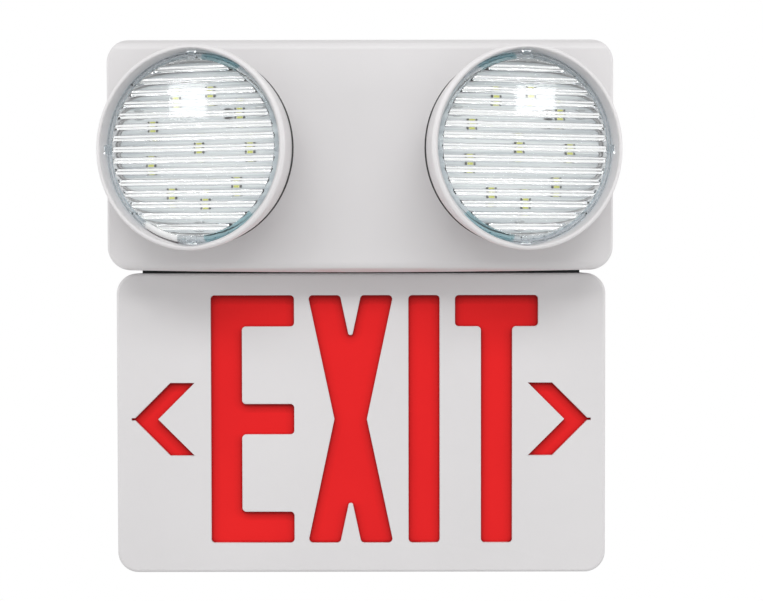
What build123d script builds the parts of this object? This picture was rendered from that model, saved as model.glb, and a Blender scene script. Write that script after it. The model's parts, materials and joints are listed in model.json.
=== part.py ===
from build123d import *
from math import cos, radians, sin, sqrt
import os

# Emergency exit light for a wall: a lettered sign box below a case with two turning lamp heads.
# Millimetres. X runs to the right, Z up and Y into the wall, so the light faces -Y.
# The wall is at Y = 0, and the origin lies midway between the two wall-box screws.
# "out" is a distance from the wall towards the room, and "depth" one behind a lamp's front.

# Cases
case_width = 300.0
upper_height = 136.6
upper_depth = 71.3
upper_corner = 14.0
upper_crown = 1.6  # how far the upper case's lower edge bows down at its middle
upper_edge = 1.6
upper_roll = 6.5  # round along the upper case's top and bottom front edges
upper_wall = 2.5
cover_lift = 0.5  # the cover's rear edge stands this far off the wall
cover_rib = 1.6
cover_rib_rise = 2.4
cover_rib_pitch = 22.0
cover_rib_count = 3
case_gap = 2.4  # between the two cases at their corners
sign_height = 184.2
sign_depth = 40.0
sign_corner = 12.7
sign_edge = 2.0
sign_wall = 2.5
tray_depth = 18.0  # the sign's rear tray
tray_floor = 2.2
tray_lip = 3.0
tray_lip_wall = 1.4
lip_fit = 0.2
rib_thick = 1.6
rib_rise = 4.0
rib_count = 4
cut_over = 1.0  # how far a cutting shape runs past what it cuts

# Wall fixings
plate_thick = 3.0
plate_fit = 0.3
plate_rim = 8.0
plate_rim_wall = 2.0
box_screw_spacing = 88.9
box_screw_r = 2.4
entry_r = 11.1
entry_collar = 2.0
entry_collar_wall = 2.4
wall_screw_side = 18.0  # from the case's side
wall_screw_z = 50.0
wall_screw_r = 2.3
sign_screw_side = 30.0
sign_screw_rise = 20.0  # above the sign's lower edge

# Latches between the cover and the back plate's rim
latch_width = 12.0
latch_reach = 1.4
latch_size = 2.0
latch_out = 5.4
latch_fit = 0.3
latch_upper_x = 100.0
latch_lower_x = 45.0

# Lettering and arrows
letter_height = 152.4
letter_drop = 13.5  # from the sign's top edge to the letters
stroke = 19.2
letter_round = 2.4
opening_edge = 0.35
e_left = -92.3
e_width = 51.2
e_middle = 18.8
x_centre = -6.5
x_spread = 26.2
x_waist = 10.0
x_notch = 24.5
x_notch_width = 12.8
x_notch_round = 1.4
i_left = 29.0
t_left = 57.6
t_width = 51.0
arrow_side = 10.4  # from the sign's side to an arrow's sharp tip
arrow_rise = 22.4
arrow_stroke = 14.9
arrow_slot = 1.5  # the short slot that each arrow's tip runs out into
arrow_slot_reach = 1.5
arrow_slot_length = 4.0

# Sign panel and light
panel_thick = 1.5
panel_fit = 0.6
hook_width = 12.0
hook_reach = 3.0
hook_thick = 2.0
hook_spacing = 100.0
strip_side = 25.0  # from the sign's side to the end of its lamp board
strip_width = 14.0
board_thick = 1.6
strip_post = 6.0
strip_post_r = 3.5
strip_leds = 12
chip_width = 5.6
chip_height = 3.0
chip_thick = 0.8

# Joint between the cases
joiner_side = 16.0  # from the case's side to the strip's end
joiner_depth = 35.5
joiner_back = 3.0
joiner_screw_x = 90.0
joiner_screw_out = 11.0
joiner_screw_r = 1.9
joiner_head_r = 3.6
joiner_boss_r = 4.4
joiner_boss_rise = 15.0
joiner_fit = 0.1
cover_slot = 0.6  # room round each boss where the cover slides over it
wire_slot_length = 34.0
wire_slot_width = 8.0
wire_slot_out = 26.0

# Lamp heads
head_side = 86.0  # swivel axis from the middle
head_rise = 1.3
head_turn = 17.5  # each head points outwards by this angle
pivot_out = 11.5  # hinge pin ahead of the cover
head_reach = 35.2  # hinge pin to the lamp's front
lens_r = 54.3
lens_recess = 4.5  # the lens's front lies this far behind the lamp's front
lens_flat_r = 50.0
lens_rim = 7.0
lens_round = 2.6
lens_skin = 1.6
lens_side = 1.4
lens_tab = 5.0
lens_tab_thick = 2.0
lens_tab_count = 4
lens_notch = 1.6
lens_notch_cut = 1.0
lens_rib_r = 0.5
lens_rib_count = 48
flute_pitch = 6.4
flute_round = 2.4  # radius of each groove's bottom, which ends where its sides rise at 45 degrees
flute_ridge = 0.3
seat_r = 55.0
seat_fit = 0.15
pocket_r = 36.0  # each pocket beside a tab is part of a smaller circle
pocket_cut = 0.9
pocket_depth = 9.0
bezel_lip_r = 56.6
bezel_front_r = 58.2
bezel_round = 2.2
bezel_mid_r = 57.0
bezel_back_r = 54.9
bezel_depth = 20.7
bezel_wall = 1.8
shelf_thick = 1.5
shelf_inner_r = 51.2
gasket_r = 54.6
gasket_thick = 2.6
shell_depth = 26.6
shell_flat_r = 43.0
shell_rim_r = 54.2
shell_bulge = 0.9
shell_wall = 2.2
spigot_depth = 6.6
spigot_wall = 2.0
spigot_fit = 0.2
led_board_r = 50.0
led_board_depth = 16.5
led_screw_length = 6.0
led_ring_r = 31.5
led_ring_count = 9
led_ring_start = 13.0
post_ring_r = 43.5
post_r = 3.6
post_count = 3

# Swivel and hinge
bore_r = 15.0
bore_boss = 3.0
bore_boss_wall = 5.0
swivel_fit = 0.1
swivel_play = 0.3
flange_r = 28.0
flange_thick = 3.0
wire_bore_r = 6.0
tongue_thick = 10.0
tongue_fit = 0.3
ear_thick = 5.0
knuckle_r = 7.4
pin_r = 2.5
pin_fit = 0.05
pin_head_r = 4.2
pin_head = 1.4
washer_r = 20.0
washer_thick = 0.8
washer_dish = 0.7
nut_r = 19.5
nut_thick = 5.0
nut_slots = 4
nut_slot_width = 4.0
nut_slot_cut = 2.0
shell_wire_r = 3.0
shell_wire_ring = 25.5  # the lead's hole lies on this circle, midway between the head's top and side

# Charger board
board_side = 30.0  # from the case's side to the board
board_width = 64.0
board_bottom = -42.0
board_height = 88.0
board_post = 12.0
board_post_r = 3.6
board_inset = 5.0
board_round = 2.5
screw_r = 1.5
screw_head_r = 2.9
screw_head = 2.0
screw_head_round = 0.7
screw_slot = 0.8
board_screw_length = 8.0
part_gap = 2.0  # clear board left between neighbouring parts
core_width = 38.0
core_height = 32.0
core_stack = 18.0
core_leg = 10.0
core_yoke = 6.0
coil_overhang = 6.0
coil_round = 3.0
coil_fit = 0.2
capacitor_r = 5.0
capacitor_height = 16.0
capacitor_top = 0.8
capacitor_count = 3
terminal_poles = 3
terminal_pitch = 7.0
terminal_depth = 10.0
terminal_height = 9.0
terminal_wire_r = 1.8
terminal_wire_rise = 3.0
terminal_screw_r = 2.3
terminal_screw_cut = 2.7

# Battery
pack_side = 8.0  # from the case's side to the cells
cell_r = 11.2
cell_length = 42.0
cell_round = 0.8
cell_nub_r = 4.5
cell_nub = 1.4
cell_fit = 0.3
cradle_thick = 2.4
cradle_rise = 12.0
saddle_inset = 14.0
strap_thick = 1.2
strap_width = 16.0
strap_foot = 8.0
strap_round = 3.7

# Test button and pilot lamp
button_rise = -24.0
button_above_board = 6.0
button_r = 4.6
button_round = 0.9
button_fit = 0.1
button_sink = 0.5  # the button's face lies this far inside the case's side
button_travel = 2.0
button_flange_r = 6.0
button_flange = 1.4
button_stem_r = 1.9
button_play = 0.2
recess_r = 8.0
recess_cut = 2.4
recess_pad = 3.0
recess_pad_wall = 2.6
lamp_rise = -6.0
lamp_r = 2.4
lamp_round = 1.9
lamp_sink = 1.0
lamp_tail = 4.0
guide_side = 17.0  # from the case's side to the guide wall
guide_thick = 2.2
spring_wire_r = 0.35
spring_r = 3.4
spring_turns = 5
switch_edge = 1.0
switch_size = 12.0
switch_width = 8.0
plunger_r = 1.75
plunger = 2.0
plunger_gap = 0.3

half_width = case_width / 2
upper_top = upper_height / 2
upper_bottom = -upper_height / 2
sign_top = upper_bottom - case_gap
sign_bottom = sign_top - sign_height
sign_middle = (sign_top + sign_bottom) / 2
letter_top = sign_top - letter_drop
letter_bottom = letter_top - letter_height
letter_middle = (letter_top + letter_bottom) / 2
panel_front = sign_depth - sign_wall
strip_length = case_width - 2 * strip_side
strip_back = tray_floor + strip_post
joiner_length = case_width - 2 * joiner_side
board_right = half_width - board_side
board_left = board_right - board_width
board_top = board_bottom + board_height
board_out = plate_thick + board_post
board_front = board_out + board_thick
core_x = board_left + board_inset + screw_head_r + part_gap + core_width / 2
core_z = board_top - board_inset - screw_head_r - part_gap - core_height / 2
core_back = board_front + coil_overhang
core_front = core_back + core_stack
pack_left = -half_width + pack_side
pack_right = pack_left + 2 * (cell_length + cell_nub) + cell_fit
cell_out = plate_thick + cell_fit + cell_r
button_out = board_front + button_above_board
guide_left = half_width - guide_side
switch_right = board_right - switch_edge
flange_right = half_width - upper_wall - recess_pad - button_play
pivot_y = -(upper_depth + pivot_out)
boss_back = upper_depth - upper_wall - bore_boss
hub_back = -(upper_wall + bore_boss + 2 * swivel_play + washer_thick + washer_dish + nut_thick)
nut_front = hub_back + nut_thick
shell_front = bezel_depth + gasket_thick
spigot_r = bezel_back_r - bezel_wall - spigot_fit
wire_place = shell_wire_ring * sqrt(0.5)
lens_back = lens_recess + lens_rim


# A block between two sides, two heights and two distances from the wall, in either order
def block(x0, x1, z0, z1, back, front):
    middle = Pos((x0 + x1) / 2, -(back + front) / 2, (z0 + z1) / 2)
    return middle * Box(abs(x1 - x0), front - back, abs(z1 - z0))


# Round bars along Y, X and Z
def bar_out(x, z, radius, back, front):
    return Pos(x, -(back + front) / 2, z) * Rot(90, 0, 0) * Cylinder(radius, front - back)


def bar_across(x0, x1, out, z, radius):
    return Pos((x0 + x1) / 2, -out, z) * Rot(0, 90, 0) * Cylinder(radius, x1 - x0)


def bar_up(x, out, z0, z1, radius):
    return Pos(x, -out, (z0 + z1) / 2) * Cylinder(radius, z1 - z0)


# A flat outline drawn on the wall and pulled out between two distances
def prism(outline, back, front):
    return extrude(Plane.XZ.offset(back) * outline, amount=front - back)


# The outline of a case, drawn in by "inset", with its lower edge bowed
def case_outline(bottom, top, corner, bow, inset):
    side = half_width - inset
    low = bottom + inset
    high = top - inset
    lower = Line((-side, low), (side, low))
    if bow:
        lower = ThreePointArc((-side, low), (0, low - bow), (side, low))
    rest = Polyline((side, low), (side, high), (-side, high), (-side, low))
    outline = make_face(lower + rest)
    return fillet(outline.vertices(), corner - inset)


def upper_outline(inset):
    return case_outline(upper_bottom, upper_top, upper_corner, upper_crown, inset)


def sign_outline(inset):
    return case_outline(sign_bottom, sign_top, sign_corner, 0, inset)


# The upper case as a full block: small round at the sides, larger roll at top and bottom
def upper_block(inset, back, front):
    body = prism(upper_outline(inset), back, front)
    body = fillet(body.faces().sort_by(Axis.Y)[0].edges(), upper_edge)
    side = half_width - inset
    rolled = block(-side, side, upper_bottom + inset - upper_crown, upper_top - inset, back, front)
    front_edges = rolled.edges().filter_by(Axis.X).group_by(Axis.Y)[0]
    return body & fillet(front_edges, upper_roll - inset)


def sign_block(inset, back, front):
    body = prism(sign_outline(inset), back, front)
    return fillet(body.faces().sort_by(Axis.Y)[0].edges(), max(sign_edge - inset, sign_edge / 4))


# How low the upper case reaches at a distance from the middle
def crown_bottom(x):
    return upper_bottom - upper_crown * (1 - (x / half_width) ** 2)


def joiner_screw_places():
    return [-joiner_screw_x, 0, joiner_screw_x]


# Where each latch meets the cover's inner wall, and which way it points
def latch_places():
    top = upper_top - upper_wall
    upper = [(x, top, -1) for x in (-latch_upper_x, 0, latch_upper_x)]
    lower = [(x, crown_bottom(x) + upper_wall, 1) for x in (-latch_lower_x, latch_lower_x)]
    return upper + lower


def front_cover():
    shell = upper_block(0, cover_lift, upper_depth) - upper_block(upper_wall, 0, upper_depth - upper_wall)
    shell += cover_ribs() + cover_latches()
    for side in (-1, 1):
        x = side * head_side
        shell += bar_out(x, head_rise, bore_r + bore_boss_wall, boss_back, upper_depth - upper_wall)
        shell -= bar_out(x, head_rise, bore_r, boss_back - cut_over, upper_depth + cut_over)
    shell = button_recesses(shell)
    slot = joiner_boss_r + cover_slot
    low = upper_bottom - upper_crown - cut_over
    high = upper_bottom + upper_wall + cut_over
    for x in joiner_screw_places():
        shell -= block(x - slot, x + slot, low, high, 0, joiner_screw_out)
        shell -= bar_up(x, joiner_screw_out, low, high, slot)
    return shell - wire_slot(low, high)


def cover_ribs():
    low = upper_bottom + upper_wall / 2
    high = upper_top - upper_wall / 2
    front = upper_depth - upper_wall / 2
    back = upper_depth - upper_wall - cover_rib_rise
    ribs = Part()
    for rib in range(cover_rib_count):
        x = (rib - (cover_rib_count - 1) / 2) * cover_rib_pitch
        ribs += block(x - cover_rib / 2, x + cover_rib / 2, low, high, back, front)
    return ribs & upper_block(upper_wall / 2, 0, upper_depth)


def cover_latches():
    nubs = Part()
    for x, z, way in latch_places():
        left = x - latch_width / 2
        back = latch_out - latch_size / 2
        root = z - way * upper_wall / 2
        nub = block(left, left + latch_width, root, z + way * latch_reach, back, back + latch_size)
        edges = nub.edges().filter_by(Axis.X).sort_by(Axis.Z)
        tip = edges[-2:] if way > 0 else edges[:2]
        nubs += chamfer(tip, latch_size / 4)
    return nubs


# The pads, dished outside, that the test button and the pilot lamp pass through
def button_recesses(shell):
    inner = half_width - upper_wall
    through = inner - recess_pad - cut_over
    for z in (button_rise, lamp_rise):
        shell += bar_across(inner - recess_pad, inner, button_out, z, recess_r + recess_pad_wall)
        shell -= bar_across(half_width - recess_cut, half_width + cut_over, button_out, z, recess_r)
    shell -= bar_across(through, half_width, button_out, button_rise, button_r + button_fit)
    return shell - bar_across(through, half_width, button_out, lamp_rise, lamp_r + button_fit)


# The long hole that lets the sign's wires through both cases and the strip between them
def wire_slot(low, high):
    slot = extrude(SlotOverall(wire_slot_length, wire_slot_width), amount=high - low)
    return Pos(0, -wire_slot_out, low) * slot


def board_hole_places():
    sides = (board_left + board_inset, board_right - board_inset)
    return [(x, z) for x in sides for z in (board_bottom + board_inset, board_top - board_inset)]


def pack_rows():
    return [head_rise - cell_r - cell_fit / 2, head_rise + cell_r + cell_fit / 2]


def back_plate():
    inset = upper_wall + plate_fit
    plate = prism(upper_outline(inset), 0, plate_thick)
    rim = prism(upper_outline(inset), plate_thick, plate_rim)
    plate += rim - prism(upper_outline(inset + plate_rim_wall), plate_thick, plate_rim)
    for x, z, way in latch_places():
        half = latch_width / 2 + latch_fit
        reach = plate_fit + plate_rim_wall + cut_over
        plate -= block(x - half, x + half, z, z + way * reach,
                       latch_out - latch_size / 2 - latch_fit, latch_out + latch_size / 2 + latch_fit)
    for x in joiner_screw_places():
        low = crown_bottom(x) + joiner_fit
        high = upper_bottom + joiner_boss_rise
        plate += block(x - joiner_boss_r, x + joiner_boss_r, low, high, 0, joiner_screw_out)
        plate += bar_up(x, joiner_screw_out, low, high, joiner_boss_r)
        plate -= bar_up(x, joiner_screw_out, low - cut_over, high - upper_wall, joiner_screw_r)
    plate += bar_out(0, 0, entry_r + entry_collar_wall, plate_thick, plate_thick + entry_collar)
    plate -= bar_out(0, 0, entry_r, -cut_over, plate_thick + entry_collar + cut_over)
    for side in (-1, 1):
        plate -= bar_out(side * box_screw_spacing / 2, 0, box_screw_r, -cut_over, plate_thick + cut_over)
        for z in (-wall_screw_z, wall_screw_z):
            x = side * (half_width - wall_screw_side)
            plate -= bar_out(x, z, wall_screw_r, -cut_over, plate_thick + cut_over)
    for x, z in board_hole_places():
        plate += bar_out(x, z, board_post_r, plate_thick, board_out)
        plate -= bar_out(x, z, screw_r, plate_thick, board_out + cut_over)
    return plate + cell_cradle() + button_guide()


# Two end walls and a saddle under each row of cells
def cell_cradle():
    rows = pack_rows()
    low = rows[0] - cell_r
    high = rows[1] + cell_r
    left = pack_left - cell_fit
    right = pack_right + cell_fit
    cradle = block(left - cradle_thick, left, low, high, plate_thick, cradle_rise)
    cradle += block(right, right + cradle_thick, low, high, plate_thick, cradle_rise)
    for x in (pack_left + saddle_inset, pack_right - saddle_inset - cradle_thick):
        saddle = block(x, x + cradle_thick, low, high, plate_thick, cell_out)
        for z in rows:
            saddle -= bar_across(x - cut_over, x + cradle_thick + cut_over, cell_out, z, cell_r)
        cradle += saddle
    return cradle


# The upright wall that carries the inner ends of the button's stem and the lamp's light pipe
def button_guide():
    right = guide_left + guide_thick
    low = button_rise - recess_r
    high = lamp_rise + recess_r
    guide = block(guide_left, right, low, high, plate_thick, button_out + recess_r)
    for z, radius in ((button_rise, button_stem_r), (lamp_rise, lamp_r)):
        guide -= bar_across(guide_left - cut_over, right + cut_over, button_out, z, radius + button_fit)
    return guide


# A slotted round head along Y with its underside at the origin, and its shank behind it
def slotted_screw(shank_length):
    head = Pos(0, -screw_head / 2, 0) * Rot(90, 0, 0) * Cylinder(screw_head_r, screw_head)
    head = fillet(head.edges().group_by(Axis.Y)[0], screw_head_round)
    shank = Pos(0, shank_length / 2, 0) * Rot(90, 0, 0) * Cylinder(screw_r, shank_length)
    slot = Pos(0, -screw_head, 0) * Box(2 * screw_head_r, screw_head, screw_slot)
    return shank + head - slot


def circuit_board():
    board = block(board_left, board_right, board_bottom, board_top, board_out, board_front)
    board = fillet(board.edges().filter_by(Axis.Y), board_round)
    for x, z in board_hole_places():
        board -= bar_out(x, z, screw_r, board_out - cut_over, board_front + cut_over)
    return board


def board_screws():
    screw = slotted_screw(board_screw_length)
    return Part() + [Pos(x, -board_front, z) * screw for x, z in board_hole_places()]


# Stacked iron with a window on each side of its middle leg
def transformer_core():
    side = core_width / 2
    rise = core_height / 2
    core = block(core_x - side, core_x + side, core_z - rise, core_z + rise, core_back, core_front)
    window = rise - core_yoke
    for way in (-1, 1):
        core -= block(core_x + way * core_leg / 2, core_x + way * (side - core_yoke), core_z - window,
                      core_z + window, core_back - cut_over, core_front + cut_over)
    return core


# The winding round the middle leg, from the board to past the front of the core
def transformer_coil():
    outer = core_width / 2 - core_yoke - coil_fit
    window = core_height / 2 - core_yoke - coil_fit
    coil = block(core_x - outer, core_x + outer, core_z - window, core_z + window,
                 board_front, core_front + coil_overhang)
    coil = fillet(coil.edges().filter_by(Axis.Z), coil_round)
    return coil - block(core_x - core_leg / 2, core_x + core_leg / 2, core_z - window - cut_over,
                        core_z + window + cut_over, core_back, core_front)


def capacitors():
    group = Part()
    pitch = 2 * capacitor_r + part_gap
    x = board_left + board_inset + screw_head_r + capacitor_r
    z = board_bottom + board_inset + screw_head_r + capacitor_r
    for step in range(capacitor_count):
        can = bar_out(x + step * pitch, z, capacitor_r, board_front, board_front + capacitor_height)
        group += fillet(can.edges().group_by(Axis.Y)[0], capacitor_top)
    return group


# Screw terminals for the incoming supply, open towards the cable entry
def terminal_block():
    left = board_left
    right = left + terminal_depth
    top = core_z - core_height / 2 - 2 * part_gap
    bottom = top - terminal_poles * terminal_pitch
    front = board_front + terminal_height
    body = block(left, right, bottom, top, board_front, front)
    middle_x = (left + right) / 2
    for pole in range(terminal_poles):
        z = bottom + (pole + 0.5) * terminal_pitch
        body -= bar_across(left - cut_over, middle_x, board_front + terminal_wire_rise, z, terminal_wire_r)
        body -= bar_out(middle_x, z, terminal_screw_r, front - terminal_screw_cut, front + cut_over)
    return body


def test_switch():
    half = switch_size / 2
    body = block(switch_right - switch_width, switch_right, button_rise - half, button_rise + half,
                 board_front, board_front + switch_size)
    return body + bar_across(switch_right, switch_right + plunger, button_out, button_rise, plunger_r)


def test_button():
    flange_left = flange_right - button_flange
    cap = bar_across(flange_left, half_width - button_sink, button_out, button_rise, button_r)
    cap = fillet(cap.edges().group_by(Axis.X)[-1], button_round)
    flange = bar_across(flange_left, flange_right, button_out, button_rise, button_flange_r)
    stem_end = switch_right + plunger + button_travel + plunger_gap
    stem = bar_across(stem_end, flange_left, button_out, button_rise, button_stem_r)
    return cap + flange + stem


# Return spring round the stem, between the guide wall and the button's flange
def button_spring():
    start = guide_left + guide_thick + spring_wire_r
    length = flange_right - button_flange - spring_wire_r - start
    path = Helix(pitch=length / spring_turns, height=length, radius=spring_r)
    wire = Plane(origin=path @ 0, z_dir=path % 0) * Circle(spring_wire_r)
    return Pos(start, -button_out, button_rise) * Rot(0, 90, 0) * sweep(wire, path=path)


def pilot_lamp():
    pipe = bar_across(guide_left - lamp_tail, half_width - lamp_sink, button_out, lamp_rise, lamp_r)
    return fillet(pipe.edges().group_by(Axis.X)[-1], lamp_round)


# Four sealed cells, two in each row, each with a raised contact
def battery_cells():
    group = Part()
    for z in pack_rows():
        for start in (pack_left, pack_left + cell_length + cell_nub + cell_fit):
            end = start + cell_length
            can = fillet(bar_across(start, end, cell_out, z, cell_r).edges(), cell_round)
            group += can + bar_across(end, end + cell_nub, cell_out, z, cell_nub_r)
    return group


# A flat band over both rows, turned out into a foot on each side
def battery_strap():
    rows = pack_rows()
    low = rows[0] - cell_r - cell_fit
    high = rows[1] + cell_r + cell_fit
    top = cell_out + cell_r + cell_fit
    x = (pack_left + pack_right - strap_width) / 2
    right = x + strap_width
    outer = block(x, right, low - strap_thick, high + strap_thick, plate_thick, top + strap_thick)
    inner = block(x - cut_over, right + cut_over, low, high, plate_thick - cut_over, top)
    outer = fillet(outer.edges().filter_by(Axis.X).group_by(Axis.Y)[0], strap_round)
    inner = fillet(inner.edges().filter_by(Axis.X).group_by(Axis.Y)[0], strap_round - strap_thick)
    strap = outer - inner
    for edge, way in ((low - strap_thick, -1), (high + strap_thick, 1)):
        strap += block(x, right, edge, edge + way * strap_foot, plate_thick, plate_thick + strap_thick)
    return strap


# The dark strip between the cases, crowned on top to meet the upper case
def joining_strip():
    half = joiner_length / 2
    strip = block(-half, half, sign_top, upper_bottom, joiner_back, joiner_back + joiner_depth)
    strip -= prism(upper_outline(0), 0, upper_depth)
    for x in joiner_screw_places():
        strip -= bar_up(x, joiner_screw_out, sign_top - cut_over, upper_bottom + cut_over, joiner_screw_r)
    return strip - wire_slot(sign_top - cut_over, upper_bottom + cut_over)


# Screws from inside the sign, up through the strip into the back plate's bosses
def joining_screws():
    group = Part()
    seat = sign_top - sign_wall
    for x in joiner_screw_places():
        shank = bar_up(x, joiner_screw_out, seat, upper_bottom + joiner_boss_rise / 2, joiner_screw_r)
        head = bar_up(x, joiner_screw_out, seat - screw_head, seat, joiner_head_r)
        group += shank + fillet(head.edges().group_by(Axis.Z)[0], screw_head_round)
    return group


def strip_post_places():
    reach = (strip_length - strip_width) / 2
    return [-reach, 0, reach]


# The rear tray, with a thinner lip that the face's sides slide over
def sign_back():
    lip_back = tray_depth - tray_lip
    lip_outer = sign_wall + lip_fit
    lip_inner = sign_outline(lip_outer + tray_lip_wall)
    tray = prism(sign_outline(0), 0, tray_depth)
    tray -= prism(sign_outline(sign_wall), tray_floor, tray_depth + cut_over)
    tray += prism(sign_outline(sign_wall), lip_back, tray_depth)
    tray += prism(sign_outline(lip_outer), tray_depth, tray_depth + tray_lip)
    tray -= prism(lip_inner, lip_back - cut_over, tray_depth + tray_lip + cut_over)
    low = sign_bottom + sign_wall
    high = sign_top - sign_wall
    for rib in range(1, rib_count + 1):
        x = rib * case_width / (rib_count + 1) - half_width
        tray += block(x - rib_thick / 2, x + rib_thick / 2, low, high, tray_floor, tray_floor + rib_rise)
    for x in strip_post_places():
        tray += bar_out(x, sign_middle, strip_post_r, tray_floor, strip_back)
    for side in (-1, 1):
        x = side * (half_width - sign_screw_side)
        tray -= bar_out(x, sign_bottom + sign_screw_rise, wall_screw_r, -cut_over, tray_floor + cut_over)
    for x in joiner_screw_places():
        tray -= bar_up(x, joiner_screw_out, high - cut_over, sign_top + cut_over, joiner_screw_r)
    return tray - wire_slot(high - 2 * sign_wall, sign_top + cut_over)


def bar_letter(left, bottom, width, height):
    return Pos(left + width / 2, bottom + height / 2) * Rectangle(width, height)


def letter_e():
    shape = bar_letter(e_left, letter_bottom, stroke, letter_height)
    shape += bar_letter(e_left, letter_top - stroke, e_width, stroke)
    shape += bar_letter(e_left, letter_middle - e_middle / 2, e_width, e_middle)
    shape += bar_letter(e_left, letter_bottom, e_width, stroke)
    return fillet(shape.vertices(), letter_round)


# One quarter of the X is drawn and mirrored about its centre, then its corners are rounded
def letter_x():
    half = letter_height / 2
    slope = (x_spread - x_waist) / half
    inner = x_notch_width / 2
    notch_z = half - x_notch
    tip = inner - slope * x_notch
    points = [(0, 0), (x_waist, 0), (x_spread, half), (inner, half), (tip, notch_z), (0, notch_z), (0, 0)]
    shape = make_face(Polyline(points))
    shape += mirror(shape, about=Plane.YZ)
    shape += mirror(shape, about=Plane.XZ)
    ends = [v for v in shape.vertices() if abs(v.Y) > half - cut_over]
    shape = fillet(ends, letter_round)
    tips = [v for v in shape.vertices() if abs(v.X) < 2 * tip and abs(v.Y) < half - x_notch / 2]
    shape = fillet(tips, x_notch_round)
    return Pos(x_centre, letter_middle) * shape


def letter_i():
    shape = bar_letter(i_left, letter_bottom, stroke, letter_height)
    return fillet(shape.vertices(), letter_round)


def letter_t():
    shape = bar_letter(t_left, letter_top - stroke, t_width, stroke)
    shape += bar_letter(t_left + (t_width - stroke) / 2, letter_bottom, stroke, letter_height)
    return fillet(shape.vertices(), letter_round)


# An arrow head pointing to one side, open between its two arms, with a short slot at its tip
def arrow(side):
    tip = side * (half_width - arrow_side)
    back = tip - side * arrow_rise
    width = side * arrow_stroke
    outline = [(tip, 0), (back, arrow_rise), (back - width, arrow_rise), (tip - width, 0)]
    outline += [(back - width, -arrow_rise), (back, -arrow_rise), (tip, 0)]
    shape = make_face(Polyline(outline))
    slot_x = tip + side * (arrow_slot_reach - arrow_slot_length / 2)
    shape += Pos(slot_x, 0) * SlotOverall(arrow_slot_length, arrow_slot)
    return Pos(0, letter_middle) * shape


def sign_face():
    shell = sign_block(0, tray_depth, sign_depth)
    shell -= sign_block(sign_wall, tray_depth - cut_over, panel_front)
    for outline in (letter_e(), letter_x(), letter_i(), letter_t(), arrow(-1), arrow(1)):
        shell -= prism(outline, panel_front - cut_over, sign_depth + cut_over)
    front = shell.faces().sort_by(Axis.Y)[0]
    rims = [edge for wire in front.inner_wires() for edge in wire.edges()]
    shell = chamfer(rims, opening_edge)
    return shell + panel_hooks()


# Short hooks round the inside that hold the red panel against the face
def panel_hooks():
    front = panel_front - panel_thick
    back = front - hook_thick
    side = half_width - sign_wall
    hooks = Part()
    for x in (-hook_spacing, 0, hook_spacing):
        left = x - hook_width / 2
        for edge, way in ((sign_top - sign_wall, -1), (sign_bottom + sign_wall, 1)):
            hooks += block(left, left + hook_width, edge, edge + way * hook_reach, back, front)
    low = sign_middle - hook_width / 2
    for way in (-1, 1):
        hooks += block(way * side, way * (side - hook_reach), low, low + hook_width, back, front)
    return hooks


def red_panel():
    return prism(sign_outline(sign_wall + panel_fit), panel_front - panel_thick, panel_front)


def sign_led_board():
    half = strip_length / 2
    low = sign_middle - strip_width / 2
    return block(-half, half, low, low + strip_width, strip_back, strip_back + board_thick)


def sign_led_chips():
    group = Part()
    pitch = strip_length / strip_leds
    back = strip_back + board_thick
    low = sign_middle - chip_height / 2
    for led in range(strip_leds):
        left = (led + 0.5) * pitch - (strip_length + chip_width) / 2
        group += block(left, left + chip_width, low, low + chip_height, back, back + chip_thick)
    return group


# Parts of a lamp head are drawn about their own hinge pin, facing -Y, with "depth" behind the front
def turned(profile):
    return revolve(make_face(profile), Axis.Y)


def at_depth(radius, depth):
    return (radius, depth - head_reach)


def head_bar(x, z, radius, front, back):
    return Pos(x, (front + back) / 2 - head_reach, z) * Rot(90, 0, 0) * Cylinder(radius, back - front)


# A quarter round between two points of a profile, which leaves the first one along the radius
def quarter(start, end):
    across = (end[0] - start[0]) * sqrt(0.5)
    along = (end[1] - start[1]) * (1 - sqrt(0.5))
    return ThreePointArc(start, (start[0] + across, start[1] + along), end)


# The front ring: a rounded lip, a wall that narrows to the rear, and a shelf that the lens rests on
def bezel():
    shelf = lens_back + seat_fit
    shelf_back = shelf + shelf_thick
    inner = bezel_back_r - bezel_wall
    lip = Line(at_depth(seat_r, 0), at_depth(bezel_lip_r, 0))
    corner = quarter(at_depth(bezel_lip_r, 0), at_depth(bezel_front_r, bezel_round))
    side = ThreePointArc(at_depth(bezel_front_r, bezel_round), at_depth(bezel_mid_r, bezel_depth / 2),
                         at_depth(bezel_back_r, bezel_depth))
    rest = Polyline(at_depth(bezel_back_r, bezel_depth), at_depth(inner, bezel_depth),
                    at_depth(inner, shelf_back), at_depth(shelf_inner_r, shelf_back),
                    at_depth(shelf_inner_r, shelf), at_depth(seat_r, shelf), at_depth(seat_r, 0))
    ring = turned(lip + corner + side + rest)
    for way in (-1, 1):
        centre = way * (seat_r + pocket_cut - pocket_r)
        pocket = head_bar(0, centre, pocket_r, -cut_over, pocket_depth)
        ring -= pocket - head_bar(0, 0, seat_r - cut_over, -2 * cut_over, pocket_depth + cut_over)
    return ring


def in_lens(radius, depth):
    return at_depth(radius, lens_recess + depth)


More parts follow.
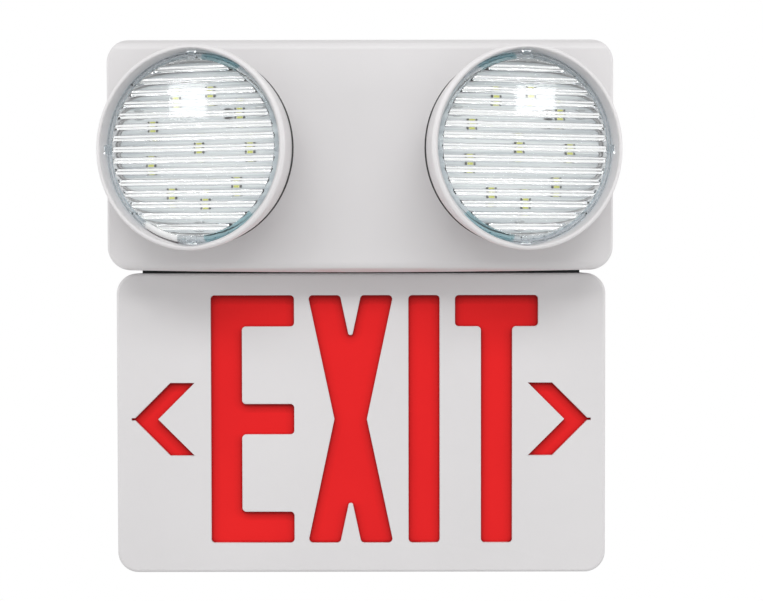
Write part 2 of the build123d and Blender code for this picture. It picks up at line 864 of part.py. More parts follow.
# The clear cover: a flat front with a rounded shoulder, and level flutes moulded on its inside
def lens():
    side = lens_r - lens_side
    front = Line(in_lens(0, 0), in_lens(lens_flat_r, 0))
    outer = quarter(in_lens(lens_flat_r, 0), in_lens(lens_r, lens_round))
    rim = Polyline(in_lens(lens_r, lens_round), in_lens(lens_r, lens_rim), in_lens(side, lens_rim),
                   in_lens(side, lens_round + lens_skin))
    inner = quarter(in_lens(lens_flat_r, lens_skin), in_lens(side, lens_round + lens_skin))
    back = Polyline(in_lens(lens_flat_r, lens_skin), in_lens(0, lens_skin), in_lens(0, 0))
    skin = turned(front + outer + rim + inner + back)
    skin += lens_flutes() & head_bar(0, 0, lens_flat_r, lens_recess, lens_back)
    return skin + lens_ribs() + lens_tabs() - lens_notches()


# A row of grooves, one above the other, with flat-topped ridges between them, drawn along the lens
def lens_flutes():
    count = 2 * int(lens_flat_r / flute_pitch + 1)
    half = count * flute_pitch / 2
    base = lens_recess + lens_skin - head_reach
    rise = flute_round * (1 - sqrt(0.5))
    edge = flute_round * sqrt(0.5)
    top = base + rise + (flute_pitch - flute_ridge) / 2 - edge
    back = base - lens_skin / 2
    curve = Polyline((top, half), (back, half), (back, -half), (top, -half))
    for flute in range(count):
        low = flute * flute_pitch - half
        middle = low + flute_pitch / 2
        high = low + flute_pitch
        curve += Polyline((top, low), (top, low + flute_ridge / 2), (base + rise, middle - edge))
        curve += ThreePointArc((base + rise, middle - edge), (base, middle), (base + rise, middle + edge))
        curve += Polyline((base + rise, middle + edge), (top, high - flute_ridge / 2), (top, high))
    return Pos(-lens_flat_r, 0, 0) * extrude(Plane.YZ * make_face(curve), amount=2 * lens_flat_r)


# Fine upright ribs round the inside of the lens's rim
def lens_ribs():
    ring = lens_r - lens_side
    front = lens_recess + lens_round + lens_skin
    bar = head_bar(0, ring, lens_rib_r, front, lens_back)
    return Part() + [Rot(0, rib * 360 / lens_rib_count, 0) * bar for rib in range(lens_rib_count)]


def lens_tabs():
    outer = seat_r - seat_fit
    inner = lens_flat_r
    middle = Pos(0, lens_recess + lens_tab_thick / 2 - head_reach, (inner + outer) / 2)
    tab = middle * Box(lens_tab, lens_tab_thick, outer - inner)
    return Part() + [Rot(0, turn * 360 / lens_tab_count, 0) * tab for turn in range(lens_tab_count)]


def lens_notches():
    middle = Pos(0, (lens_recess + lens_back) / 2 - head_reach, lens_r)
    cut = middle * Box(lens_notch, lens_rim + 2 * cut_over, 2 * lens_notch_cut)
    return Part() + [Rot(0, (turn + 0.5) * 360 / lens_tab_count, 0) * cut for turn in range(lens_tab_count)]


def post_places():
    angles = [radians(n * 360 / post_count) for n in range(post_count)]
    return [(post_ring_r * sin(angle), -post_ring_r * cos(angle)) for angle in angles]


# The rear of a head: a shallow dish with a spigot for the bezel, posts for the lamp board and a tongue
def rear_shell():
    spigot_front = shell_front - spigot_depth
    spigot_inner = spigot_r - spigot_wall
    floor = shell_depth - shell_wall
    bulge_r = (shell_flat_r + shell_rim_r) / 2 + shell_bulge
    bulge = at_depth(bulge_r, (shell_depth + shell_front) / 2 + shell_bulge)
    outer = ThreePointArc(at_depth(shell_flat_r, shell_depth), bulge, at_depth(shell_rim_r, shell_front))
    rest = Polyline(at_depth(shell_rim_r, shell_front), at_depth(spigot_r, shell_front),
                    at_depth(spigot_r, spigot_front), at_depth(spigot_inner, spigot_front),
                    at_depth(spigot_inner, shell_front), at_depth(shell_flat_r - shell_wall / 2, floor),
                    at_depth(0, floor), at_depth(0, shell_depth), at_depth(shell_flat_r, shell_depth))
    shell = turned(outer + rest)
    post_front = led_board_depth + board_thick
    for x, z in post_places():
        shell += head_bar(x, z, post_r, post_front, floor)
        shell -= head_bar(x, z, screw_r, post_front - cut_over, floor)
    neck = head_reach - shell_depth
    shell += Pos(0, -neck / 2, 0) * Box(2 * knuckle_r, neck, tongue_thick)
    shell += Cylinder(knuckle_r, tongue_thick)
    shell -= Cylinder(pin_r + pin_fit, tongue_thick + cut_over)
    return shell - head_bar(wire_place, wire_place, shell_wire_r, floor - cut_over, shell_depth + cut_over)


# The dark seal between the bezel and the rear shell, on the shell's spigot
def gasket():
    ring = head_bar(0, 0, gasket_r, bezel_depth, shell_front)
    return ring - head_bar(0, 0, spigot_r, bezel_depth - cut_over, shell_front + cut_over)


def led_board():
    back = led_board_depth + board_thick
    board = head_bar(0, 0, led_board_r, led_board_depth, back)
    for x, z in post_places():
        board -= head_bar(x, z, screw_r, led_board_depth - cut_over, back + cut_over)
    return board - head_bar(wire_place, wire_place, shell_wire_r, led_board_depth - cut_over, back + cut_over)


def led_places():
    step = 360 / led_ring_count
    angles = [radians(led_ring_start + n * step) for n in range(led_ring_count)]
    return [(0, 0)] + [(led_ring_r * sin(angle), led_ring_r * cos(angle)) for angle in angles]


def led_chips():
    chip = Box(chip_width, chip_thick, chip_height)
    middle = led_board_depth - chip_thick / 2 - head_reach
    return Part() + [Pos(x, middle, z) * chip for x, z in led_places()]


def led_board_screws():
    screw = slotted_screw(led_screw_length)
    return Part() + [Pos(x, led_board_depth - head_reach, z) * screw for x, z in post_places()]


# The turning base, drawn about the swivel axis with the hinge pin at the origin.
# Its "back" and "front" are distances ahead of the cover.
def base_bar(x, z, radius, back, front):
    return Pos(x, pivot_out - (back + front) / 2, z) * Rot(90, 0, 0) * Cylinder(radius, front - back)


def swivel_base():
    flange_front = swivel_play + flange_thick
    base = base_bar(0, 0, flange_r, swivel_play, flange_front)
    base = fillet(base.edges().group_by(Axis.Y)[0], flange_thick / 3)
    base += base_bar(0, 0, bore_r - swivel_fit, hub_back, swivel_play)
    inner = tongue_thick / 2 + tongue_fit
    root = pivot_out - flange_front
    for side in (-1, 1):
        z = side * (inner + ear_thick / 2)
        base += Pos(0, root / 2, z) * Box(2 * knuckle_r, root, ear_thick)
        base += Pos(0, 0, z) * Cylinder(knuckle_r, ear_thick)
    base -= Cylinder(pin_r, 2 * (inner + ear_thick + cut_over))
    return base - base_bar(0, 0, wire_bore_r, hub_back - cut_over, flange_front + cut_over)


def swivel_nut():
    ring = base_bar(0, 0, nut_r, hub_back, nut_front)
    ring -= base_bar(0, 0, bore_r - swivel_fit, hub_back - cut_over, nut_front + cut_over)
    middle = Pos(nut_r, pivot_out - (hub_back + nut_front) / 2, 0)
    cut = middle * Box(2 * nut_slot_cut, nut_thick + 2 * cut_over, nut_slot_width)
    for slot in range(nut_slots):
        ring -= Rot(0, slot * 360 / nut_slots, 0) * cut
    return ring


# A dished spring washer between the nut and the cover's boss
def friction_washer():
    near = pivot_out - nut_front
    far = near - washer_dish
    profile = Polyline((bore_r, near), (washer_r, far), (washer_r, far - washer_thick),
                       (bore_r, near - washer_thick), (bore_r, near))
    return turned(profile)


def hinge_pin():
    half = tongue_thick / 2 + tongue_fit + ear_thick
    pin = Cylinder(pin_r, 2 * half)
    for side in (-1, 1):
        head = Pos(0, 0, side * (half + pin_head / 2)) * Cylinder(pin_head_r, pin_head)
        pin += chamfer(head.edges().group_by(Axis.Z)[-1 if side > 0 else 0], pin_head / 3)
    return pin


def place_swivel(piece, side):
    return Pos(side * head_side, pivot_y, head_rise) * piece


def place_head(piece, side):
    return Pos(side * head_side, pivot_y, head_rise) * Rot(0, 0, side * head_turn) * piece


fixed_parts = {
    "back_plate": back_plate,
    "front_cover": front_cover,
    "circuit_board": circuit_board,
    "board_screws": board_screws,
    "transformer_core": transformer_core,
    "transformer_coil": transformer_coil,
    "capacitors": capacitors,
    "terminal_block": terminal_block,
    "test_switch": test_switch,
    "test_button": test_button,
    "button_spring": button_spring,
    "pilot_lamp": pilot_lamp,
    "battery_cells": battery_cells,
    "battery_strap": battery_strap,
    "joining_strip": joining_strip,
    "joining_screws": joining_screws,
    "sign_back": sign_back,
    "sign_face": sign_face,
    "red_panel": red_panel,
    "sign_led_board": sign_led_board,
    "sign_led_chips": sign_led_chips,
}
swivel_parts = {
    "swivel_base": swivel_base,
    "swivel_nut": swivel_nut,
    "friction_washer": friction_washer,
    "hinge_pin": hinge_pin,
}
head_parts = {
    "rear_shell": rear_shell,
    "gasket": gasket,
    "bezel": bezel,
    "lens": lens,
    "led_board": led_board,
    "led_chips": led_chips,
    "led_board_screws": led_board_screws,
}

os.makedirs("parts", exist_ok=True)
for name, make in fixed_parts.items():
    export_step(make(), "parts/" + name + ".step")
for name, make in swivel_parts.items():
    piece = make()
    for label, side in (("left_", -1), ("right_", 1)):
        export_step(place_swivel(piece, side), "parts/" + label + name + ".step")
for name, make in head_parts.items():
    piece = make()
    for label, side in (("left_", -1), ("right_", 1)):
        export_step(place_head(piece, side), "parts/" + label + name + ".step")
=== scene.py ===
import json
import math
import bpy
from mathutils import Matrix, Vector


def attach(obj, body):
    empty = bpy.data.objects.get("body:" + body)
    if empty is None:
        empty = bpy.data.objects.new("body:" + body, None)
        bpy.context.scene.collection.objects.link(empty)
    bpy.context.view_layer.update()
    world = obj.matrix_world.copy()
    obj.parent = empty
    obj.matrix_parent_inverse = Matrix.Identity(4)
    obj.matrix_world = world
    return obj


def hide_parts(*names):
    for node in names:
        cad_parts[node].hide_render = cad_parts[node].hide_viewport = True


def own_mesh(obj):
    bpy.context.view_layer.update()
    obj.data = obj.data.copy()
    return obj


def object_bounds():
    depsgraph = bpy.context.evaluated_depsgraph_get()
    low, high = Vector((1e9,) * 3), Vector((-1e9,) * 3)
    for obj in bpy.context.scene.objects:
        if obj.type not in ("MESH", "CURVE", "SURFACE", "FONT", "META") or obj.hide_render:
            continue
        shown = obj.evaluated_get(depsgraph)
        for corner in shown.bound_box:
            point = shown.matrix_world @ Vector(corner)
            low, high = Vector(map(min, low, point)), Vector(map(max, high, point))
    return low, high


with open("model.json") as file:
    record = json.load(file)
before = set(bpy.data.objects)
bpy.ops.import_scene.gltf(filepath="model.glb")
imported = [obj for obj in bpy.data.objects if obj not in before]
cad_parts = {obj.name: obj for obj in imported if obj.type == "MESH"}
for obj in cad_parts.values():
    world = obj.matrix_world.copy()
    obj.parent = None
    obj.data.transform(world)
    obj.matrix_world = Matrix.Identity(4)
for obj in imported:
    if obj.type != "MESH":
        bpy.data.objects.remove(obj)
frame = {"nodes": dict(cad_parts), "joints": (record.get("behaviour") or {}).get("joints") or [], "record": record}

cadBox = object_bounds()
mm = 0.001
nodes = frame["nodes"]
sides = {"left": -1, "right": 1}
slotOf = {row["node"]: row["material_slot"] for row in frame["record"]["subparts"]}
jointAt = {joint["name"]: joint.get("pos_m") for joint in frame["joints"]}
bodyOf = {}
for body, members in frame["record"]["behaviour"]["bodies"].items():
    for node in members:
        bodyOf[node] = body


# Small helpers

def clearSelection():
    if bpy.context.object and bpy.context.object.mode != "OBJECT":
        bpy.ops.object.mode_set(mode="OBJECT")
    bpy.ops.object.select_all(action="DESELECT")


def pickOnly(piece):
    clearSelection()
    piece.select_set(True)
    bpy.context.view_layer.objects.active = piece


def applyAll(piece):
    pickOnly(piece)
    for modifier in list(piece.modifiers):
        bpy.ops.object.modifier_apply(modifier=modifier.name)


# Materials: each one starts from a shader with its plain values set on the sockets

# how fine the noise is: in most cloudy tints, in the softer ones, and in the grain of a surface
noiseDetail = {"cloud": 4.0, "soft": 3.0, "grain": 2.0}


def newMaterial(name, values):
    material = bpy.data.materials.new(name)
    material.use_nodes = True
    tree = material.node_tree
    shader = tree.nodes["Principled BSDF"]
    for socket, value in values.items():
        shader.inputs[socket].default_value = value
    return material, tree, shader


def addNode(tree, kind, **values):
    node = tree.nodes.new(kind)
    for key, value in values.items():
        if key in node.inputs:
            node.inputs[key].default_value = value
        else:
            setattr(node, key, value)
    return node


def objectNoise(tree, scale, detail, stretch=(1, 1, 1)):
    where = addNode(tree, "ShaderNodeTexCoord")
    turn = addNode(tree, "ShaderNodeMapping", Scale=stretch)
    noise = addNode(tree, "ShaderNodeTexNoise", Scale=scale, Detail=detail)
    tree.links.new(where.outputs["Object"], turn.inputs["Vector"])
    tree.links.new(turn.outputs["Vector"], noise.inputs["Vector"])
    return noise.outputs["Fac"]


def tintBetween(tree, factor, dark, light, low=0.3, high=0.7):
    ramp = addNode(tree, "ShaderNodeValToRGB")
    first, last = ramp.color_ramp.elements
    first.position = low
    first.color = (*dark, 1)
    last.position = high
    last.color = (*light, 1)
    tree.links.new(factor, ramp.inputs["Fac"])
    return ramp.outputs["Color"]


def bumpFrom(tree, shader, height, strength, distance):
    bump = addNode(tree, "ShaderNodeBump", Strength=strength, Distance=distance)
    tree.links.new(height, bump.inputs["Height"])
    tree.links.new(bump.outputs["Normal"], shader.inputs["Normal"])


mouldedWhite = {
    "dark": (0.700, 0.686, 0.692),
    "light": (0.735, 0.721, 0.727),
    "roughness": 0.42,
    "index": 1.5,
    "cloudScale": 9.0,
    "grainScale": 2600,
    "grainStrength": 0.12,
    "grainDepth": 0.02 * mm,
}

# The lamp cups are painted a little brighter than the cases: painted light for their shaded inner walls and lips
cupWhitePaintedLight = dict(mouldedWhite, dark=(0.715, 0.700, 0.706), light=(0.745, 0.730, 0.736))

# They are thin, and let some light through their walls
cupGlow = {
    "Subsurface Weight": 0.5,
    "Subsurface Scale": 4 * mm,
    "Subsurface Radius": (1, 1, 1),
}


def makeWhiteCase(name, look, more={}):
    plain = {"Roughness": look["roughness"], "IOR": look["index"]}
    material, tree, shader = newMaterial(name, {**plain, **more})
    cloud = objectNoise(tree, look["cloudScale"], noiseDetail["soft"])
    white = tintBetween(tree, cloud, look["dark"], look["light"])
    tree.links.new(white, shader.inputs["Base Color"])
    grain = objectNoise(tree, look["grainScale"], noiseDetail["grain"])
    bumpFrom(tree, shader, grain, look["grainStrength"], look["grainDepth"])
    return material


plainFinish = {
    "scale": 40.0,
    "stretch": (1, 1, 1),
    "metallic": 0.0,
    "grainScale": 1200,
    "grainStrength": 0.2,
    "grainDepth": 0.03 * mm,
}


def makePlain(name, dark, light, roughness, **changed):
    look = {**plainFinish, **changed}
    plain = {"Roughness": roughness, "Metallic": look["metallic"]}
    material, tree, shader = newMaterial(name, plain)
    cloud = objectNoise(tree, look["scale"], noiseDetail["cloud"], look["stretch"])
    tree.links.new(tintBetween(tree, cloud, dark, light), shader.inputs["Base Color"])
    grain = objectNoise(tree, look["grainScale"], noiseDetail["grain"])
    bumpFrom(tree, shader, grain, look["grainStrength"], look["grainDepth"])
    return material


# The red panel lies behind the face; painted shade darkens it along the edges of the openings
redGlowPaintedShade = {
    "dark": (0.75, 0.013, 0.015),
    "light": (0.80, 0.015, 0.016),
    "values": {
        "Roughness": 0.45,
        "Specular IOR Level": 0.12,
        # a faint glow: the sign is lit from inside, and the glow is also painted light that lifts the sunk panel
        "Emission Strength": 0.055,
        "Emission Color": (0.8, 0.015, 0.016, 1),
    },
    "cloudScale": 14.0,
    "grainScale": 900,
    "grainStrength": 0.15,
    "grainDepth": 0.03 * mm,
    "facing": (0, -0.80, 0.60),   # forwards and up, so top edges shade the panel most
    "reach": 6.0 * mm,            # how far the shade of an edge reaches
    "edge": (0.30, 0.12, 0.14),   # what the red is multiplied by where the painted shade is deepest
    "deepest": 0.45,
    "none": 0.95,
    "samples": 12,
}


def makeRedPanel():
    look = redGlowPaintedShade
    material, tree, shader = newMaterial("redPanel", look["values"])
    cloud = objectNoise(tree, look["cloudScale"], noiseDetail["soft"])
    red = tintBetween(tree, cloud, look["dark"], look["light"])
    facing = addNode(tree, "ShaderNodeCombineXYZ", **dict(zip("XYZ", look["facing"])))
    # painted shade: an occlusion probe tilted forwards and up darkens the red near the openings' edges
    shade = addNode(tree, "ShaderNodeAmbientOcclusion", Distance=look["reach"],
                    samples=look["samples"])
    tree.links.new(facing.outputs["Vector"], shade.inputs["Normal"])
    paintedEdgeShade = tintBetween(tree, shade.outputs["AO"], look["edge"], (1, 1, 1),
                       look["deepest"], look["none"])
    blend = addNode(tree, "ShaderNodeMix", data_type="RGBA", blend_type="MULTIPLY")
    share, first, second = blend.inputs[0], blend.inputs[6], blend.inputs[7]
    share.default_value = 1.0
    tree.links.new(red, first)
    tree.links.new(paintedEdgeShade, second)
    tree.links.new(blend.outputs[2], shader.inputs["Base Color"])
    grain = objectNoise(tree, look["grainScale"], noiseDetail["grain"])
    bumpFrom(tree, shader, grain, look["grainStrength"], look["grainDepth"])
    return material


clearPlastic = {
    "index": 1.49,
    "flowScale": 800,
    "flowStretch": (0.08, 0.08, 1),   # flow lines along the flutes
    "flowDepth": 0.1 * mm,
}


# Shadow and diffuse rays go straight through a clear moulding, so what is behind it stays lit
def makeClear(name, color, through, roughness=0.02, ripple=0.05):
    look = clearPlastic
    material, tree, shader = newMaterial(name, {
        "Base Color": (*color, 1),
        "Roughness": roughness,
        "IOR": look["index"],
        "Transmission Weight": 1.0,
    })
    flow = objectNoise(tree, look["flowScale"], noiseDetail["cloud"], look["flowStretch"])
    bumpFrom(tree, shader, flow, ripple, look["flowDepth"])
    path = addNode(tree, "ShaderNodeLightPath")
    straight = addNode(tree, "ShaderNodeMath", operation="MAXIMUM")
    clear = addNode(tree, "ShaderNodeBsdfTransparent", Color=(*through, 1))
    mix = addNode(tree, "ShaderNodeMixShader")
    tree.links.new(path.outputs["Is Shadow Ray"], straight.inputs[0])
    tree.links.new(path.outputs["Is Diffuse Ray"], straight.inputs[1])
    tree.links.new(straight.outputs[0], mix.inputs["Fac"])
    tree.links.new(shader.outputs["BSDF"], mix.inputs[1])
    tree.links.new(clear.outputs["BSDF"], mix.inputs[2])
    tree.links.new(mix.outputs["Shader"], tree.nodes["Material Output"].inputs["Surface"])
    return material


finishes = {
    "white_case": makeWhiteCase("whiteCase", mouldedWhite),
    "clear_lens": makeClear("clearLens", (0.975, 0.99, 0.99), (0.93, 0.94, 0.94)),
    "red_panel": makeRedPanel(),
    "black_strip": makePlain("blackStrip", (0.0008, 0.0016, 0.002), (0.002, 0.004, 0.005), 0.8),
    "black_rubber": makePlain("blackSeal", (0.006, 0.006, 0.007), (0.012, 0.012, 0.013), 0.6),
    # the board's horizontal light and dark streaks are painted shade and highlight, standing in for what the
    # flutes show
    "white_board": makePlain("whiteBoardPaintedStreaks", (0.50, 0.53, 0.56), (0.94, 0.95, 0.95), 0.35,
                             scale=170.0, stretch=(0.06, 0.06, 1)),
    "green_board": makePlain("greenBoard", (0.012, 0.09, 0.03), (0.02, 0.14, 0.045), 0.3),
    "led_chip": makePlain("ledChip", (0.60, 0.61, 0.10), (0.72, 0.72, 0.16), 0.5),
    "steel": makePlain("platedSteel", (0.45, 0.46, 0.47), (0.62, 0.63, 0.64), 0.3, metallic=1.0),
    "core_iron": makePlain("coreIron", (0.03, 0.03, 0.032), (0.07, 0.07, 0.072), 0.5,
                           metallic=0.6),
    "winding": makePlain("windingTape", (0.60, 0.42, 0.05), (0.72, 0.52, 0.08), 0.4),
    "black_cap": makePlain("blackSleeve", (0.006, 0.006, 0.007), (0.015, 0.015, 0.017), 0.4),
    "terminal_green": makePlain("terminalGreen", (0.008, 0.10, 0.03), (0.015, 0.15, 0.05), 0.4),
    "button_red": makePlain("buttonRed", (0.33, 0.010, 0.008), (0.42, 0.014, 0.010), 0.3),
    "cell_wrap": makePlain("cellWrap", (0.01, 0.04, 0.20), (0.015, 0.06, 0.27), 0.25),
}
cupMaterial = makeWhiteCase("cupWhitePaintedLight", cupWhitePaintedLight, cupGlow)
chipFrame = makePlain("chipFrame", (0.74, 0.74, 0.70), (0.82, 0.82, 0.78), 0.35)
chipEnd = makePlain("chipEnd", (0.010, 0.012, 0.010), (0.025, 0.028, 0.025), 0.4)

# What a lens has besides the clear finish of its front
lensFinishes = {
    "rim": makeClear("clearRim", (0.85, 0.90, 0.92), (0.85, 0.88, 0.90), 0.03, 0.7),
    # painted shade: a deeper teal for some stretches of the rim
    "shadedTint": makeClear("rimTealShade", (0.44, 0.64, 0.68), (0.75, 0.85, 0.88), 0.05, 0.5),
    # painted highlight: an opaque white for one stretch of the left rim
    "paintedHighlight": makePlain("rimPaintedHighlight", (0.84, 0.85, 0.85), (0.92, 0.93, 0.93), 0.25, scale=300),
    "flutes": makeClear("fluteClear", (0.975, 0.99, 0.99), (0.93, 0.94, 0.94), 0.02, 0.9),
}


def dressNodes():
    for name, piece in nodes.items():
        material = finishes[slotOf[name]]
        if not piece.material_slots:
            piece.data.materials.append(material)
        for slot in piece.material_slots:
            slot.material = material
    print("dressed", len(nodes), "nodes")


dressNodes()


# Lamp heads: a place on a head is given from its middle line, its front and its own up direction.
# Ranges are in degrees from the top, towards the middle of the fitting.

lampHead = {
    "reach": 35.2 * mm,         # hinge pin to the front of the head
    "turn": 17.5,               # degrees outwards
    "flatRadius": 50.2 * mm,    # the fluted disc; the rim lies outside it
    "flutesBehind": 5.0 * mm,   # what lies deeper than this is the fluted side
    # stretches of the rim with painted shade, and of the left rim with a painted highlight
    "shadedTint": [(7, 32), (136, 172)],
    "paintedHighlight": {"left": [(190, 214)], "right": []},
    "sealRadius": 54.0 * mm,    # what lies outside this radius bulges
    "sealBulge": 0.35 * mm,
}


def headPlace(side):
    pin = Vector(jointAt[side + "_tilt"])
    turn = Matrix.Rotation(math.radians(sides[side] * lampHead["turn"]), 4, "Z")
    return Matrix.Translation(pin) @ turn @ Matrix.Translation((0, -lampHead["reach"], 0))


# Moulded pieces that show: a merged copy stands for each, so that its round faces shade smoothly

smoothing = {
    "merge": 0.01 * mm,
    "angle": 32,
    "names": {
        "front_cover": "caseCover",
        "back_plate": "caseBack",
        "sign_face": "signFront",
        "sign_back": "signTray",
        "joining_strip": "joinStrip",
        "test_button": "pushButton",
        "pilot_lamp": "lightPipe",
    },
    "sideNames": {
        "bezel": "RimCup",
        "gasket": "SealRing",
        "rear_shell": "RearDish",
        "lens": "FlutedLens",
        "swivel_base": "TurnBase",
        "hinge_pin": "TiltPin",
    },
}


def smoothCopy(name, newName):
    mesh = nodes[name].data.copy()
    piece = bpy.data.objects.new(newName, mesh)
    bpy.context.collection.objects.link(piece)
    pickOnly(piece)
    bpy.ops.object.mode_set(mode="EDIT")
    bpy.ops.mesh.select_all(action="SELECT")
    bpy.ops.mesh.remove_doubles(threshold=smoothing["merge"])
    bpy.ops.object.mode_set(mode="OBJECT")
    bpy.ops.object.shade_smooth_by_angle(angle=math.radians(smoothing["angle"]))
    normals = piece.modifiers.new("evenNormals", "WEIGHTED_NORMAL")
    normals.keep_sharp = True
    applyAll(piece)
    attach(piece, bodyOf[name])
    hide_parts(name)
    return piece


smoothed = {}
for name, newName in smoothing["names"].items():
    smoothed[name] = smoothCopy(name, newName)
for side in sides:
    for name, ending in smoothing["sideNames"].items():
        smoothed[side + "_" + name] = smoothCopy(side + "_" + name, side + ending)


# The button's spring: a smooth copy with a mesh of its own


def springCoil():
    coil = smoothCopy("button_spring", "buttonCoil")
    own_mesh(coil)
    return coil


smoothed["button_spring"] = springCoil()
print("smoothed", len(smoothed), "pieces")


def within(ranges, side, place):
    around = math.degrees(math.atan2(-sides[side] * place.x, place.z)) % 360
    return any(low < around < high for low, high in ranges)


# The lens's rim is thick to look through, so it shows the plastic's tint; a deeper tint in some stretches is
# painted shade, and an opaque white stretch on the left head is a painted highlight
def tintRim(side):
    lens = smoothed[side + "_lens"]
    slots = {"front": 0}
    for part, material in lensFinishes.items():
        slots[part] = len(lens.data.materials)
        lens.data.materials.append(material)
    toHead = headPlace(side).inverted()
    for face in lens.data.polygons:
        centre = toHead @ face.center
        if math.hypot(centre.x, centre.z) < lampHead["flatRadius"]:
            part = "front" if centre.y < lampHead["flutesBehind"] else "flutes"
        elif within(lampHead["paintedHighlight"][side], side, centre):
            part = "paintedHighlight"
        elif within(lampHead["shadedTint"], side, centre):
            part = "shadedTint"
        else:
            part = "rim"
        face.material_index = slots[part]


# The seal stands a little proud of the seam, as rubber does when it is squeezed
def bulgeSeal(side):
    seal = smoothed[side + "_gasket"]
    fromHead = headPlace(side)
    toHead = fromHead.inverted()
    for vertex in seal.data.vertices:
        place = toHead @ vertex.co
        radius = math.hypot(place.x, place.z)
        if radius > lampHead["sealRadius"]:
            grow = 1 + lampHead["sealBulge"] / radius
            vertex.co = fromHead @ Vector((place.x * grow, place.y, place.z * grow))


for side in sides:
    tintRim(side)
    bulgeSeal(side)
    # the cups take the brighter white that carries painted light
    smoothed[side + "_bezel"].data.materials[0] = cupMaterial
print("lamp heads finished")


# Light chips: a white frame round a sunk yellow window, with a dark contact at each end

ledChip = {
    "width": 6.2 * mm,
    "height": 5.4 * mm,
    "thick": 0.8 * mm,
    "frame": 0.30 * mm,
    "sink": 0.25 * mm,
    "contact": 1.1 * mm,   # width of each dark end
    "edge": 0.08 * mm,
    "edgeAngle": 40,
    "front": 15.7 * mm,    # depth of the chip's front behind the head's front
}


def modelChip():
    half = ledChip["width"] / 2 - ledChip["contact"]
    clearSelection()
    bpy.ops.mesh.primitive_cube_add(size=1, location=(0, ledChip["thick"] / 2, 0))
    chip = bpy.context.object
    chip.name = "chipPattern"
    chip.scale = (ledChip["width"], ledChip["thick"], ledChip["height"])
    bpy.ops.object.transform_apply(location=True, rotation=True, scale=True)
    for material in (chipFrame, finishes["led_chip"], chipEnd):
        chip.data.materials.append(material)
    frameSlot, windowSlot, endSlot = range(3)
    bpy.ops.object.mode_set(mode="EDIT")
    for way in (-1, 1):
        bpy.ops.mesh.select_all(action="SELECT")
        bpy.ops.mesh.bisect(plane_co=(way * half, 0, 0), plane_no=(1, 0, 0))
    bpy.ops.mesh.select_all(action="SELECT")
    bpy.ops.object.mode_set(mode="OBJECT")
    bpy.context.tool_settings.mesh_select_mode = (False, False, True)
    for face in chip.data.polygons:
        atEnd = abs(face.center.x) > half
        face.material_index = endSlot if atEnd else frameSlot
        face.select = face.normal.y < -0.9 and not atEnd
    bpy.ops.object.mode_set(mode="EDIT")
    bpy.ops.mesh.inset(thickness=ledChip["frame"])
    bpy.ops.mesh.extrude_region_move(TRANSFORM_OT_translate={"value": (0, ledChip["sink"], 0)})
    bpy.ops.object.mode_set(mode="OBJECT")
    for face in chip.data.polygons:
        if face.select:
            face.material_index = windowSlot
    soft = chip.modifiers.new("softEdges", "BEVEL")
    soft.width = ledChip["edge"]
    soft.segments = 1
    soft.angle_limit = math.radians(ledChip["edgeAngle"])
    applyAll(chip)
    return chip


# The middles of the solid chips, from their corners
def chipPlaces(corners):
    oneChip = ledChip["width"] + ledChip["height"]   # the corners of one chip lie closer than this
    groups = []
    for corner in corners:
        for group in groups:
            if math.hypot(group[0].x - corner.x, group[0].z - corner.z) < oneChip:
                group.append(corner)
                break
        else:
            groups.append([corner])
    places = []
    for group in groups:
        across = [corner.x for corner in group]
        upwards = [corner.z for corner in group]
        places.append(((min(across) + max(across)) / 2, (min(upwards) + max(upwards)) / 2))
    return places


# One chip on each place of the solid chips, joined as one piece for each head
def layChips(side, pattern):
    fromHead = headPlace(side)
    toHead = fromHead.inverted()
    source = nodes[side + "_led_chips"].data
    made = []
    for x, z in chipPlaces([toHead @ vertex.co for vertex in source.vertices]):
        chip = pattern.copy()
        chip.data = pattern.data.copy()
        bpy.context.collection.objects.link(chip)
        chip.data.transform(fromHead @ Matrix.Translation((x, ledChip["front"], z)))
        made.append(chip)
    pickOnly(made[0])
    for chip in made[1:]:
        chip.select_set(True)
    bpy.ops.object.join()
    made[0].name = side + "Chips"
    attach(made[0], side + "_head")
    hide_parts(side + "_led_chips")


chipPattern = modelChip()
for side in sides:
    layChips(side, chipPattern)
bpy.data.objects.remove(chipPattern)
print("chips laid")


# Studio: a pale floor well below the fitting, soft panels in front and at both sides

studio = {
    "floorDrop": 0.42,
    "floorNear": -2.2,
    "floorFar": 1.2,
    "floorHalf": 2.2,
    "floorDark": (0.80, 0.80, 0.80),
    "floorLight": (0.84, 0.84, 0.84),
    "floorRoughness": 0.7,
    "floorScale": 3.0,
    "surround": 0.50,
    "surroundSeen": 1.0,
    "panels": {
        "frontPanel": {"energy": 5.3, "size": (0.8, 0.35), "at": (0.0, -1.314, 0.771)},
        "leftPanel": {"energy": 2.4, "size": (0.5, 0.4), "at": (-0.556, -1.191, 0.771)},
        "rightPanel": {"energy": 2.4, "size": (0.5, 0.4), "at": (0.556, -1.191, 0.771)},
        "lowPanel": {"energy": 0.7, "size": (0.8, 0.2), "at": (0.0, -1.5, -0.5)},
        "leftStrip": {"energy": 4.3, "size": (0.5, 0.4), "at": (-1.483, -0.397, 0.166)},
        "rightStrip": {"energy": 4.3, "size": (0.5, 0.4), "at": (1.483, -0.397, 0.166)},
        "leftSpark": {"energy": 0.08, "size": (0.057, 0.050), "at": (-1.161, -1.303, 0.179)},
        "rightSpark": {"energy": 0.08, "size": (0.060, 0.042), "at": (1.131, -1.324, 0.179)},
    },
    "aim": (0, 0, -0.05),
}


def addFloor():
    clearSelection()
    near, far = studio["floorNear"], studio["floorFar"]
    bpy.ops.mesh.primitive_plane_add(size=1)
    floor = bpy.context.object
    floor.name = "studioFloor"
    floor.scale = (2 * studio["floorHalf"], far - near, 1)
    floor.location = (0, (far + near) / 2, cadBox[0][2] - studio["floorDrop"])
    bpy.ops.object.transform_apply(location=True, rotation=True, scale=True)
    paint = makePlain("paleFloor", studio["floorDark"], studio["floorLight"],
                      studio["floorRoughness"], scale=studio["floorScale"])
    floor.data.materials.append(paint)


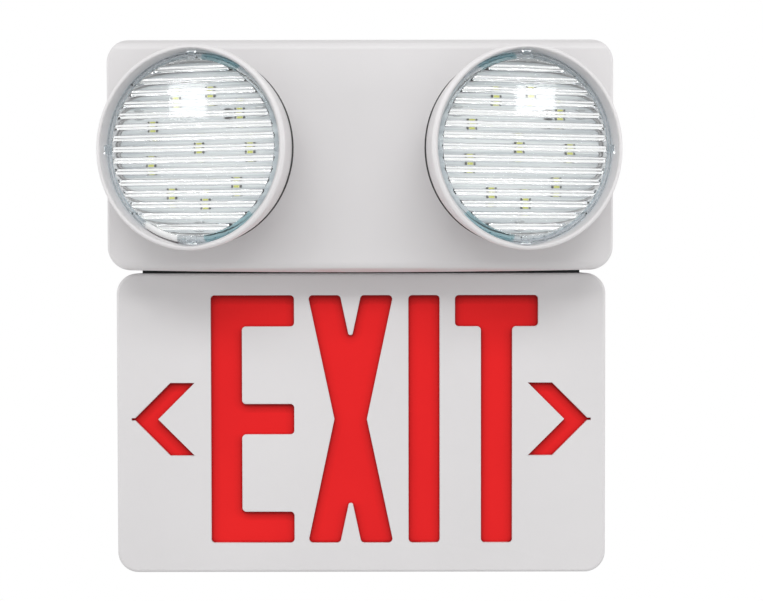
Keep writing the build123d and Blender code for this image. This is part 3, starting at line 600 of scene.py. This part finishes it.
def addPanel(name, look):
    data = bpy.data.lights.new(name, "AREA")
    data.energy = look["energy"]
    data.shape = "RECTANGLE"
    data.size, data.size_y = look["size"]
    lamp = bpy.data.objects.new(name, data)
    bpy.context.collection.objects.link(lamp)
    lamp.location = look["at"]
    aim = Vector(studio["aim"]) - Vector(look["at"])
    lamp.rotation_euler = aim.to_track_quat("-Z", "Y").to_euler()


# The surround is white where it is seen, mirrored or seen through the lenses, and lights less
def addSurround():
    world = bpy.context.scene.world or bpy.data.worlds.new("surround")
    bpy.context.scene.world = world
    world.use_nodes = True
    tree = world.node_tree
    tree.nodes.clear()
    path = addNode(tree, "ShaderNodeLightPath")
    direct = addNode(tree, "ShaderNodeMath", operation="MAXIMUM")
    seen = addNode(tree, "ShaderNodeMath", operation="MAXIMUM")
    dim = addNode(tree, "ShaderNodeBackground", Color=(1, 1, 1, 1), Strength=studio["surround"])
    white = addNode(tree, "ShaderNodeBackground", Color=(1, 1, 1, 1),
                    Strength=studio["surroundSeen"])
    mix = addNode(tree, "ShaderNodeMixShader")
    out = addNode(tree, "ShaderNodeOutputWorld")
    tree.links.new(path.outputs["Is Camera Ray"], direct.inputs[0])
    tree.links.new(path.outputs["Is Glossy Ray"], direct.inputs[1])
    tree.links.new(direct.outputs[0], seen.inputs[0])
    tree.links.new(path.outputs["Is Transmission Ray"], seen.inputs[1])
    tree.links.new(seen.outputs[0], mix.inputs["Fac"])
    tree.links.new(dim.outputs[0], mix.inputs[1])
    tree.links.new(white.outputs[0], mix.inputs[2])
    tree.links.new(mix.outputs[0], out.inputs["Surface"])


# The photograph's view, 1 m in front of the sign face and a little above its top edge
view = {
    "at": (0.01342, -1.040, -0.0604),
    "turn": (88.447, 0.086, 0.046),
    "lens": 77.01,
    "sensor": 36,
}


def addCamera():
    data = bpy.data.cameras.new("photoView")
    data.lens = view["lens"]
    data.sensor_width = view["sensor"]
    data.sensor_fit = "HORIZONTAL"
    camera = bpy.data.objects.new("photoView", data)
    bpy.context.collection.objects.link(camera)
    camera.location = view["at"]
    camera.rotation_euler = [math.radians(angle) for angle in view["turn"]]
    bpy.context.scene.camera = camera


addFloor()
for name, look in studio["panels"].items():
    addPanel(name, look)
addSurround()
addCamera()
bpy.context.scene.view_settings.view_transform = "Standard"
print("studio ready")
